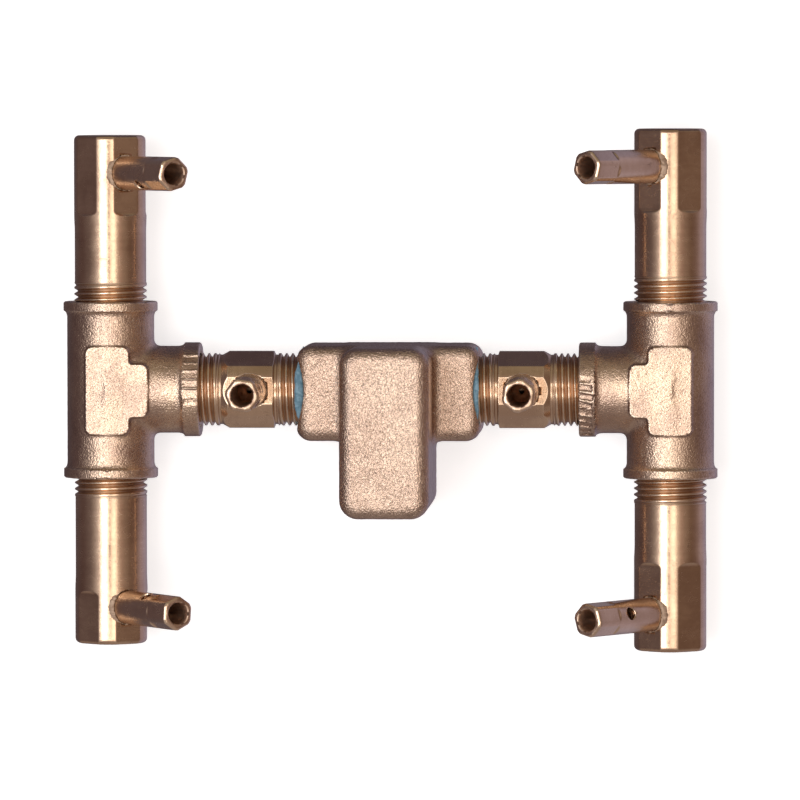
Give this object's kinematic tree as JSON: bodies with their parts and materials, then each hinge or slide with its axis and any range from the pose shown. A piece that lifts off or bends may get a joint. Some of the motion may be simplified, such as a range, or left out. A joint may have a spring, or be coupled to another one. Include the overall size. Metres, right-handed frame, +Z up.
{
  "type": "gas fire pit burner",
  "caption": "H-shaped gas burner screwed together from a cast hub, nipples, tees and closed barrels, with upright and inward-leaning jets.",
  "frame": {"origin": "on the resting plane, under the middle of the H", "axes": "+X towards the right jet bank, +Y to the rear, +Z up along the upright jets"},
  "size_m": [0.1916, 0.1526, 0.0551],
  "materials": {
    "cast_bronze": "sand cast, satin",
    "cast_bronze_fitting": "sand cast, tumbled, satin",
    "turned_brass": "turned, bright",
    "jet_brass": "turned, bright",
    "thread_sealant": "non-setting pipe compound, satin"
  },
  "bodies": {
    "frame": {"hub_body": "cast_bronze", "left_tee": "cast_bronze_fitting", "left_nipple": "turned_brass", "left_hub_sealant": "thread_sealant", "left_branch_sealant": "thread_sealant", "left_centre_jet_sealant": "thread_sealant", "right_tee": "cast_bronze_fitting", "right_nipple": "turned_brass", "right_hub_sealant": "thread_sealant", "right_branch_sealant": "thread_sealant", "right_centre_jet_sealant": "thread_sealant", "rear_left_run_sealant": "thread_sealant", "front_left_run_sealant": "thread_sealant", "rear_right_run_sealant": "thread_sealant", "front_right_run_sealant": "thread_sealant"},
    "rear_left_barrel": {"rear_left_barrel": "turned_brass", "rear_left_jet_sealant": "thread_sealant"},
    "rear_left_jet": {"rear_left_jet": "jet_brass"},
    "front_left_barrel": {"front_left_barrel": "turned_brass", "front_left_jet_sealant": "thread_sealant"},
    "front_left_jet": {"front_left_jet": "jet_brass"},
    "rear_right_barrel": {"rear_right_barrel": "turned_brass", "rear_right_jet_sealant": "thread_sealant"},
    "rear_right_jet": {"rear_right_jet": "jet_brass"},
    "front_right_barrel": {"front_right_barrel": "turned_brass", "front_right_jet_sealant": "thread_sealant"},
    "front_right_jet": {"front_right_jet": "jet_brass"},
    "left_centre_jet": {"left_centre_jet": "jet_brass"},
    "right_centre_jet": {"right_centre_jet": "jet_brass"}
  },
  "joints": [
    {"name": "rear_left_barrel_aim", "type": "hinge", "parent": "frame", "child": "rear_left_barrel", "pos_m": [-0.082, 0, 0.01385], "axis": [0, 1, 0], "range_deg": [-122.7, 57.3]},
    {"name": "rear_left_jet_turn", "type": "hinge", "parent": "rear_left_barrel", "child": "rear_left_jet", "pos_m": [-0.082, 0.06345, 0.01385], "axis": [0.5402, 0, 0.8415], "range_deg": [-180, 180]},
    {"name": "front_left_barrel_aim", "type": "hinge", "parent": "frame", "child": "front_left_barrel", "pos_m": [-0.082, 0, 0.01385], "axis": [0, 1, 0], "range_deg": [-124.2, 55.8]},
    {"name": "front_left_jet_turn", "type": "hinge", "parent": "front_left_barrel", "child": "front_left_jet", "pos_m": [-0.082, -0.06345, 0.01385], "axis": [0.5621, 0, 0.8271], "range_deg": [-180, 180]},
    {"name": "rear_right_barrel_aim", "type": "hinge", "parent": "frame", "child": "rear_right_barrel", "pos_m": [0.082, 0, 0.01385], "axis": [0, 1, 0], "range_deg": [-52.5, 127.5]},
    {"name": "rear_right_jet_turn", "type": "hinge", "parent": "rear_right_barrel", "child": "rear_right_jet", "pos_m": [0.082, 0.06526, 0.01385], "axis": [-0.6088, 0, 0.7934], "range_deg": [-180, 180]},
    {"name": "front_right_barrel_aim", "type": "hinge", "parent": "frame", "child": "front_right_barrel", "pos_m": [0.082, 0, 0.01385], "axis": [0, 1, 0], "range_deg": [-53, 127]},
    {"name": "front_right_jet_turn", "type": "hinge", "parent": "front_right_barrel", "child": "front_right_jet", "pos_m": [0.082, -0.06526, 0.01385], "axis": [-0.6018, 0, 0.7986], "range_deg": [-180, 180]},
    {"name": "left_centre_jet_turn", "type": "hinge", "parent": "frame", "child": "left_centre_jet", "pos_m": [-0.04062, 0, 0.01385], "axis": [0, 0, 1], "range_deg": [-180, 180]},
    {"name": "right_centre_jet_turn", "type": "hinge", "parent": "frame", "child": "right_centre_jet", "pos_m": [0.03881, 0, 0.01385], "axis": [0, 0, 1], "range_deg": [-180, 180]}
  ]
}
